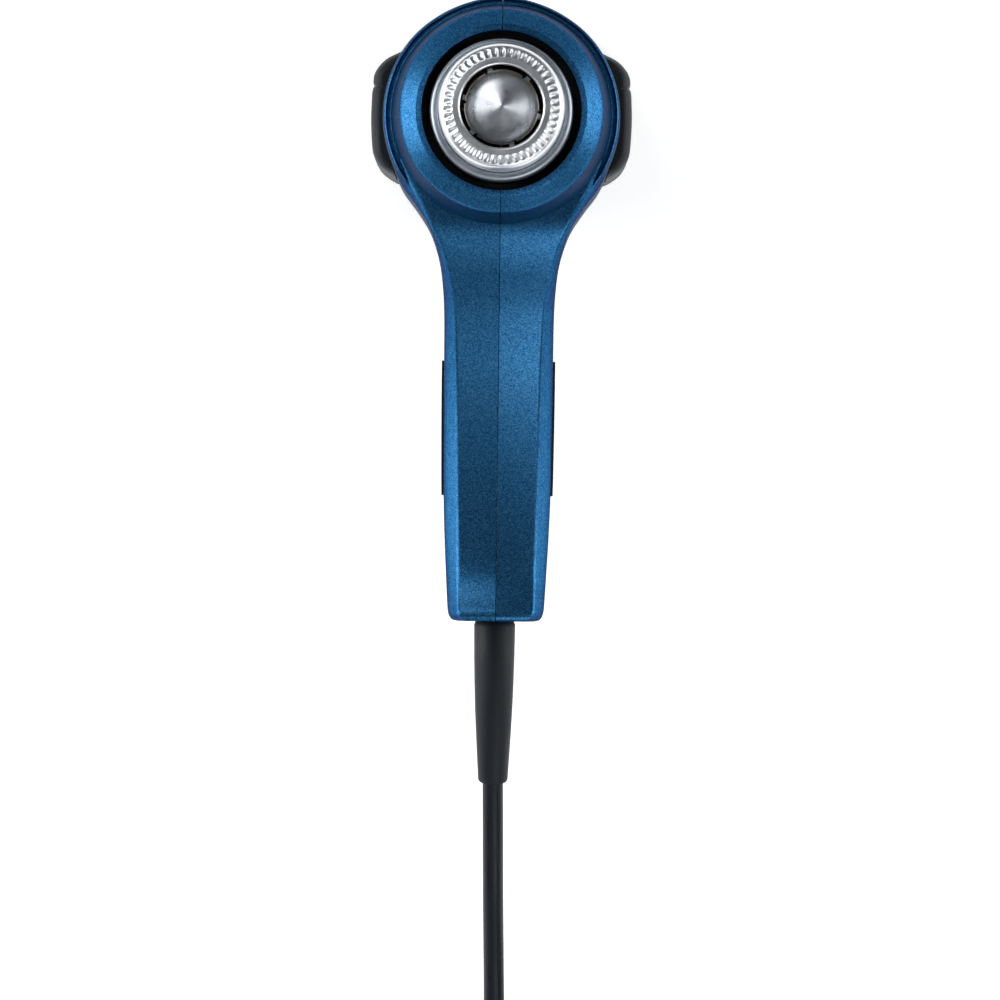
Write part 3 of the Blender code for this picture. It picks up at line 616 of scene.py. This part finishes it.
# %% The handle's solid
def fine_stations(count=6):
    """The stations with count steps between each two, on a smooth curve."""
    rows = [STATIONS[0]] + STATIONS + [STATIONS[-1]]
    found = []
    for a, b, c, d in zip(rows, rows[1:], rows[2:], rows[3:]):
        for k in range(count):
            t = k / count
            found.append(tuple(0.5 * (2 * q + (r - p) * t + (2 * p - 5 * q + 4 * r - s) * t * t
                                      + (3 * q - p - 3 * r + s) * t ** 3)
                               for p, q, r, s in zip(a, b, c, d)))
    return found + [STATIONS[-1]]


def handle_outline(station, inset):
    """One outline of the handle: ridge, bevel, flat side and a well-rounded back."""
    y, side, ridge, front, back = station
    side -= inset
    ridge -= inset * 0.9
    front -= inset
    back += inset
    drop = 1.25 * BEVEL_DROP * min(1.0, max(0.3, (side - ridge) / 0.0035))
    crest = 0 if inset > 0 else CREST
    face = [(ridge * k / FACE_STEPS, front + crest * (1 - k / FACE_STEPS)
             + CROWN * math.sin(math.pi * k / FACE_STEPS), 0) for k in range(FACE_STEPS)]
    sides = [(side, front - drop + (back + BACK_ROUND - front + drop) * k / 6, 0)
             for k in range(1, 7)]
    half = rounded(face + [(ridge, front, 0.0013), (side, front - drop, 0.0042)] + sides)
    for k in range(1, 13):
        t = k / 12
        half.append((side * ((1 - t) ** 2 + 2 * t * (1 - t) + 0.30 * t * t),
                     back + BACK_ROUND * (1 - t) ** 2))
    half.append((0.0, back))
    left = [(-x, z) for x, z in half[-2:0:-1]]
    return [(x, y, z) for x, z in half + left]


def handle_solid(inset=0.0):
    """The whole handle, made smaller by inset; a negative inset grows it."""
    end = HANDLE_END + max(0.0, inset)
    rows = [station for station in fine_stations() if station[0] > end]
    last = rows[-1] if inset > 0 else STATIONS[-1]
    rows.append((end, *last[1:]))
    return skin([handle_outline(row, inset) for row in rows])


print("handle solid has", len(handle_solid().polygons), "faces")

# %% [markdown]
# ## Two halves and their screws
#
# The halves are held by four screws that run in posts across the shell, each with its head in a
# round recess on one side. The slider runs on a flat bed in the back of the handle. All of this
# could be drawn as dark marks in the material, but real recesses catch light at every angle.

# %% The two shells
SLIDE_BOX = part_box("switch_slider")
SLIDE_Y = (SLIDE_BOX[0].y + SLIDE_BOX[1].y) / 2
TRAVEL = [joint for joint in frame["joints"] if joint["name"] == "switch_slide"][0]["range_m"][1]
POSTS = [(0.0320, 0.1180), (-0.0335, 0.1170), (-0.0660, 0.0780), (-0.1520, 0.0480)]
POST_R = 0.0046
RECESS_R = 0.0033
SCREW_R = 0.0017
RELIEF_HOLE_R = 0.0062
RIM_R, RIM_Z = 0.0404, 0.1240       # the rim is what lies outside and above these
RIM_SINK = 0.0022
RIM_FLAT = 0.00035


def rim(r, z, angle):
    """The rim sinks under the handle's front, and it is slightly flattened beside its peak."""
    if r > RIM_R and z > RIM_Z:
        away = abs((math.degrees(angle) - 270 + 180) % 360 - 180)
        z -= RIM_SINK * eased((62 - away) / 14)
        from_peak = abs(math.degrees(angle) - 90)
        r -= RIM_FLAT * math.sin(math.pi * min(1.0, from_peak / 50)) ** 2
    return r, z


def shells():
    """The hollow body with its posts, bed, slots and recesses, cut in two."""
    body = combined(spun(rounded(HEAD), shape=rim), [handle_solid()], "UNION")
    middle = [(max(0.0, r - SEAM_DEPTH), min(0.1640, max(0.0225, z))) for r, z, _ in HEAD]
    limit = combined(spun(middle, 96), [handle_solid(SEAM_DEPTH)], "UNION")
    hollow = combined(spun(BORE), [handle_solid(WALL)], "UNION")
    body = combined(body, [hollow], "DIFFERENCE")
    bed = block((-0.0090, SLIDE_Y - 0.0170, 0.0462), (0.0090, SLIDE_Y + 0.0250, 0.0486))
    posts = [combined(bar_across(-0.06, 0.06, y, z, POST_R), [limit.copy()], "INTERSECT")
             for y, z in POSTS]
    body = combined(body, [bed, *posts], "UNION")
    holes = [
        block((-0.0065, SLIDE_Y - 0.0125, 0.0300), (0.0065, SLIDE_Y + 0.0125 + TRAVEL, 0.0453)),
        block((-0.0026, SLIDE_Y - 0.0046, 0.0300), (0.0026, SLIDE_Y + 0.0046 + TRAVEL, 0.0520)),
        skin([[(CORD_X + RELIEF_HOLE_R * math.cos(math.tau * k / 48), y,
                RELIEF_Z + RELIEF_HOLE_R * math.sin(math.tau * k / 48)) for k in range(48)]
              for y in (-0.1900, -0.1700)]),
    ]
    for y, z in POSTS:
        seat = 0.0110 if y < -0.05 else 0.0160
        holes.append(bar_across(-0.0085, seat + 0.001, y, z, SCREW_R, 16))
        holes.append(bar_across(seat, 0.0600, y, z, RECESS_R))
    seam = block((-SEAM, -0.25, -0.05), (SEAM, 0.08, 0.20))
    body = combined(body, [*holes, combined(seam, [limit.copy()], "DIFFERENCE")], "DIFFERENCE")
    for name, low, high in (("shell_left", -0.08, -0.00001), ("shell_right", 0.00001, 0.08)):
        half = combined(body.copy(), [block((low, -0.25, -0.05), (high, 0.08, 0.20))], "INTERSECT")
        node = name.replace("shell", "housing")
        made = piece(name, half, LACQUER, "blue_shell", [node])
        print(name, "has", len(made.data.polygons), "faces")


shells()

# %% [markdown]
# ## The nozzle
#
# The nozzle is two drawn steel tubes, one inside the other, so that the outer one stays
# cooler. The outer one is a plain turned shape: an outline spun about Z, as on a lathe, which
# is why it needs no cutting.

# %% Nozzle jacket
def jacket():
    """The outer ring, with a rolled front edge and a flange at its foot."""
    outline = rounded([
        (0.0222, 0.1682, 0.0002), (0.0222, 0.1691, 0.0003), (0.0237, 0.1694, 0.0007),
        (0.0247, 0.1688, 0.0008), (0.0251, 0.1668, 0.0010), (0.0251, 0.1045, 0.0004),
        (0.0345, 0.1045, 0.0003), (0.0345, 0.1030, 0.0003), (0.0243, 0.1030, 0.0004),
        (0.0243, 0.1664, 0.0008)])
    return piece("nozzle_outer_ring", spun(outline), SATIN_STEEL, "stainless_steel",
                 ["nozzle_jacket"], sharp=60)


print("made", jacket().name)

# %% [markdown]
# ## The fluted tube
#
# The inner tube's front is rolled in to a flat ring, with 46 short flutes pressed around it. A
# bump map could fake the flutes, but from the side it would show a smooth edge. Each spoke of
# the turned shape is lowered by its own amount instead, in twelve steps to a flute.

# %% Fluted nozzle tube
FLUTES = 46
FLUTE_STEPS = 12
FLUTE_DEPTH = 0.0004
FLUTE_IN, FLUTE_OUT = 0.0171, 0.0203
FRONT_Z = 0.1930        # what lies above this is the front
SPAN_STEPS = 12         # extra rings along a flute
TUBE = [
    (0.0220, 0.1061, 0.0002), (0.0220, 0.1896, 0.0020), (0.0215, 0.1928, 0.0014),
    (0.0204, 0.1940, 0.0008), (0.0171, 0.19495, 0.0004), (0.0152, 0.1950, 0.0003),
    (0.0145, 0.1947, 0.0004), (0.0144, 0.1922, 0.0003), (0.0150, 0.1922, 0.0002),
    (0.0202, 0.1922, 0.0008), (0.0212, 0.1905, 0.0008), (0.0212, 0.1061, 0.0002),
]


def nozzle_tube():
    """The flutes dip into the flat part of the outline, deepest in the middle of their length."""
    outline = rounded(TUBE)
    steps = FLUTES * FLUTE_STEPS
    front = [k for k in range(len(outline) - 1) if outline[k + 1][1] > 0.1935]
    at = max(front, key=lambda k: outline[k][0] - outline[k + 1][0])
    (r0, z0), (r1, z1) = outline[at], outline[at + 1]
    extra = [(r0 + (r1 - r0) * k / SPAN_STEPS, z0 + (z1 - z0) * k / SPAN_STEPS)
             for k in range(1, SPAN_STEPS)]
    outline = outline[:at + 1] + extra + outline[at + 1:]
    rings = []
    for k in range(steps):
        angle = math.tau * k / steps
        wave = 0.5 - 0.5 * math.cos(angle * FLUTES)
        ring = []
        for r, z in outline:
            share = (r - FLUTE_IN) / (FLUTE_OUT - FLUTE_IN)
            dip = 0.0
            if 0 < share < 1 and z > FRONT_Z:
                dip = FLUTE_DEPTH * wave * math.sin(math.pi * share) ** 0.7
            ring.append((r * math.cos(angle), r * math.sin(angle), z - dip))
        rings.append(ring)
    return piece("fluted_nozzle", skin(rings, loop=True), DRAWN_STEEL, "stainless_steel",
                 ["nozzle_tube"], sharp=60, even=False)


print("made", nozzle_tube().name)

# %% [markdown]
# ## The disc in the mouth
#
# A shallow pressed cone spreads the air, which passes round it. It is held by small bent tabs,
# which show as bright nicks at its edge. A smooth cone alone would look unfinished, so the tabs
# are added and the nicks beside them cut from real solids.

# %% Air-spreading disc
DISC_R = 0.0132
DISC_Z = 0.1860


def disc():
    """A shallow cone with a notched edge and small bent tabs."""
    outline = rounded([(0.0, DISC_Z + 0.0040, 0), (0.0012, DISC_Z + 0.0037, 0.0006),
                       (DISC_R - 0.0004, DISC_Z + 0.0006, 0.0006), (DISC_R, DISC_Z, 0.0002),
                       (DISC_R - 0.0004, DISC_Z - 0.0003, 0.0002), (0.0, DISC_Z + 0.0032, 0)])
    mesh = spun(outline, 120)
    tabs, nicks = [], []
    for degrees in (48, 108, 166, 221, 286, 347):
        turn = Matrix.Rotation(math.radians(degrees), 4, "Z")
        tab = block((0.0122, -0.0009, DISC_Z - 0.0005), (0.0140, 0.0009, DISC_Z + 0.0001))
        tab.transform(turn)
        tabs.append(tab)
        nick = block((0.0124, 0.0011, DISC_Z - 0.0020), (0.0150, 0.0019, DISC_Z + 0.0020))
        nick.transform(turn)
        nicks.append(nick)
    mesh = combined(mesh, tabs, "UNION")
    mesh = combined(mesh, nicks, "DIFFERENCE")
    return piece("air_disc", mesh, DISC_STEEL, "stainless_steel", ["deflector_disc"], sharp=50)


print("made", disc().name)

# %% [markdown]
# ## Rubber pads and grips
#
# Thick rubber pads on both sides of the head keep the gun from rolling and let it stand. Each
# is a skin over one outline, cut to the head's shape, with ribs cut into its side. Rubber of
# this kind is firm, so it is modelled as a hard piece, with no cloth simulation.

# %% Side pads
RIBS = (0.0180, 0.0240, 0.0300, 0.0360, 0.0420, 0.0480, 0.0540)
PAD_OUTLINE = [
    (0.0300, 0.0285, 0), (0.0355, 0.0262, 0.0020), (0.0421, 0.0231, 0.0030),
    (0.0454, 0.0194, 0.0020), (0.0466, 0.0165, 0.0015), (0.0466, 0.0139, 0.0003),
    (0.0459, 0.0132, 0.0003), (0.0466, 0.0125, 0.0003), (0.0470, 0.0110, 0.0010),
    (0.0474, 0.0012, 0.0040), (0.0469, -0.0085, 0.0030), (0.0463, -0.0123, 0.0018),
    (0.0439, -0.0163, 0.0020), (0.0392, -0.0196, 0.0020), (0.0300, -0.0225, 0),
]
PAD_TOP = 0.0700
PAD_BORE = [(0.0, 0.0760), (0.0426, 0.0760), (0.0421, 0.0560), (0.0409, 0.0320),
            (0.0393, 0.0205), (0.0391, -0.005), (0.0, -0.005)]


def side_pad(side, name, node):
    """One pad; side is -1 or 1. Its ends are rounded by shrinking the outline."""
    outline = rounded(PAD_OUTLINE, 4)
    levels = [(0.0, 0.0012), (0.0003, 0.0005), (0.0012, 0.0), (PAD_TOP - 0.0060, 0.0),
              (PAD_TOP - 0.0030, 0.0004), (PAD_TOP - 0.0010, 0.0014), (PAD_TOP - 0.0002, 0.0024),
              (PAD_TOP, 0.0034)]
    rings = [[(side * max(0.0300, x - shrink), y * (1 - shrink * 12), z) for x, y in outline]
             for z, shrink in levels]
    ribs = [block((side * 0.0500, -0.0260, z - 0.0007), (side * 0.0462, 0.0110, z + 0.0007))
            for z in RIBS]
    mesh = combined(skin(rings), [spun(PAD_BORE), handle_solid(-0.0004), *ribs], "DIFFERENCE")
    return piece(name, mesh, TPE, "black_rubber", [node], sharp=40)


for side, name, node in ((-1, "pad_left", "side_pad_left"), (1, "pad_right", "side_pad_right")):
    print("made", side_pad(side, name, node).name)

# %% [markdown]
# ## Grips
#
# The grips are thin rubber strips set into the handle's flat sides. Laying a flat strip on a
# tapering handle would leave gaps, so each is cut from the same handle shape, grown by less
# than a millimetre.

# %% Grips
def grip(side, name, node):
    """A strip of the grown handle between two outlines on its flat side."""
    low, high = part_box(node)
    outline = rounded([(low.y, low.z + 0.004, 0.0030), (low.y, high.z - 0.012, 0.0030),
                       (high.y, high.z - 0.0005, 0.0040), (high.y, low.z + 0.0045, 0.0040)], 8)
    bar = skin([[(side * x, y, z) for y, z in outline] for x in (0.0100, 0.0260)])
    mesh = combined(bar, [handle_solid(-0.0008)], "INTERSECT")
    mesh = combined(mesh, [handle_solid(-0.00012)], "DIFFERENCE")
    return piece(name, mesh, TPE, "black_rubber", [node], sharp=40)


for side, name, node in ((-1, "grip_strip_left", "grip_left"),
                         (1, "grip_strip_right", "grip_right")):
    print("made", grip(side, name, node).name)

# %% [markdown]
# ## Parts that keep their CAD shape
#
# The rest are simple machined or moulded parts whose CAD shape is already right. They get a
# material, and those with sharp moulded edges get a small bevel, because a hard edge with no
# highlight looks drawn rather than made.

# %% Materials for the other parts
CAD_FINISH = [
    (POLYAMIDE, "rear_grille switch_slider switch_body cord_clamp coil_tie motor_carrier"
                " fan_impeller bridge_rectifier"),
    (TPE, "rear_rest_ring"),
    (BAFFLE, "collar_baffle"),
    (SHEATH, "cord_tail"),
    (ZINC, "housing_screw_1 housing_screw_2 housing_screw_3 housing_screw_4 motor_shaft"
           " former_post clamp_screw_1 clamp_screw_2"),
    (MICA, "mica_former mica_sleeve"),
    (STEATITE, "heater_base"),
    (HEATER_WIRE, "heater_coil"),
    (CAN_STEEL, "motor_can"),
    (GLASS_BOARD, "rectifier_board"),
    (CASE, "capacitor"),
    (PVC_BROWN, "lead_live motor_lead_live"),
    (PVC_BLUE, "lead_neutral motor_lead_neutral"),
    (NICKEL, "plug_pin_left plug_pin_right"),
]
EDGE = {"rear_grille": 0.0003, "switch_slider": 0.0003, "coil_tie": 0.0003,
        "rear_rest_ring": 0.0004}
for finish, names in CAD_FINISH:
    for name in names.split():
        node = dress(frame["nodes"][name], finish)
        if name in EDGE:
            edge = node.modifiers.new("edge", "BEVEL")
            edge.width = EDGE[name]
            edge.segments = 2
            edge.limit_method = "ANGLE"
            edge.angle_limit = math.radians(40)
bare = [name for name, node in frame["nodes"].items()
        if not node.hide_render and not any(m in node.data.materials[:] for m, _ in CAD_FINISH)]
print("nodes still without a finish:", bare)

# %% [markdown]
# ## Floor, world and lights
#
# The gun stands on a pale acrylic sheet that is lit from below, as on a light table, so its
# shadow stays faint. A plain white floor would need far more light from above to look white,
# and that light would wash out the lacquer.

# %% Light table
GLOW = 0.55
GLOW_REACH = 0.55       # metres that glow evenly
GLOW_END = 2.2
GLOW_FAR = 0.12
SHEET = 3.0             # half the sheet's side


def light_table():
    """A white sheet that glows evenly in the middle and fades outwards."""
    mesh = block((-SHEET, -SHEET, -0.01), (SHEET, SHEET, -0.0004))
    made, tree, shader, place = start_material("opal_acrylic_sheet", Roughness=0.6, IOR=1.49,
                                               Specular_IOR_Level=0.2)
    grain = add_node(tree, "TexNoise", {"Vector": (place, "Object"), "Scale": per_metre(2.0)})
    ramp = add_node(tree, "ValToRGB", {"Fac": (grain, "Fac")})
    ramp.color_ramp.elements[0].color = linear("#f2f2f2")
    ramp.color_ramp.elements[1].color = linear("#fafafa")
    tree.links.new(ramp.outputs["Color"], shader.inputs["Base Color"])
    far = add_node(tree, "VectorMath", {0: (place, "Object")}, operation="LENGTH")
    fade = add_node(tree, "MapRange", {"Value": (far, "Value"), "From Min": GLOW_REACH,
                                       "From Max": GLOW_END, "To Min": GLOW,
                                       "To Max": GLOW_FAR},
                    interpolation_type="SMOOTHSTEP")
    shader.inputs["Emission Color"].default_value = (1.0, 1.0, 1.0, 1.0)
    tree.links.new(fade.outputs["Result"], shader.inputs["Emission Strength"])
    sheet = bpy.data.objects.new("light_table", mesh)
    mesh.materials.append(made)
    bpy.context.scene.collection.objects.link(sheet)


light_table()
print("light table glows at", GLOW)

# %% [markdown]
# ## Soft boxes
#
# Satin lacquer and steel are drawn by what they reflect, so the lights are large soft boxes and
# not spots or a sun, and each is given the brightness of its surface rather than its watts. The
# side boxes make the collar bright left and right and leave it deep blue at top and bottom. The
# small boxes overhead light the steel face and the upper left of the disc. The two near boxes
# light the handle's slope and the cord.

# %% Soft boxes
MIDDLE = Vector((0.0, -0.06, 0.10))


def soft_box(name, azimuth, off_zenith, away, wide, high, brightness):
    """A soft box that faces the gun. Azimuth 0 is +X and 90 is +Y."""
    around, down = math.radians(azimuth), math.radians(off_zenith)
    towards = Vector((math.sin(down) * math.cos(around), math.sin(down) * math.sin(around),
                      math.cos(down)))
    data = bpy.data.lights.new(name, "AREA")
    data.shape = "RECTANGLE"
    data.size = wide
    data.size_y = high
    data.energy = brightness * math.pi * wide * high
    made = bpy.data.objects.new(name, data)
    made.location = MIDDLE + towards * away
    made.rotation_euler = (-towards).to_track_quat("-Z", "Y").to_euler()
    bpy.context.scene.collection.objects.link(made)
    print(name, round(data.energy, 1), "W")


soft_box("left_box", 178, 76, 1.4, 1.1, 1.0, 4.4)
soft_box("left_top_box", 172, 38, 1.6, 0.55, 0.30, 6.0)
soft_box("right_box", 6, 76, 1.4, 1.0, 0.9, 3.6)
soft_box("right_top_box", 5, 38, 1.6, 0.50, 0.34, 4.5)
soft_box("upper_left_box", 124, 36, 1.6, 0.70, 0.36, 4.2)
soft_box("near_box", -66, 56, 1.6, 0.90, 1.10, 2.6)
soft_box("near_left_box", -112, 56, 1.6, 0.60, 1.10, 0.9)
world = bpy.data.worlds.new("studio")
bpy.context.scene.world = world
world.use_nodes = True
world.node_tree.nodes["Background"].inputs["Color"].default_value = linear("#dfe6ee")
world.node_tree.nodes["Background"].inputs["Strength"].default_value = 0.10
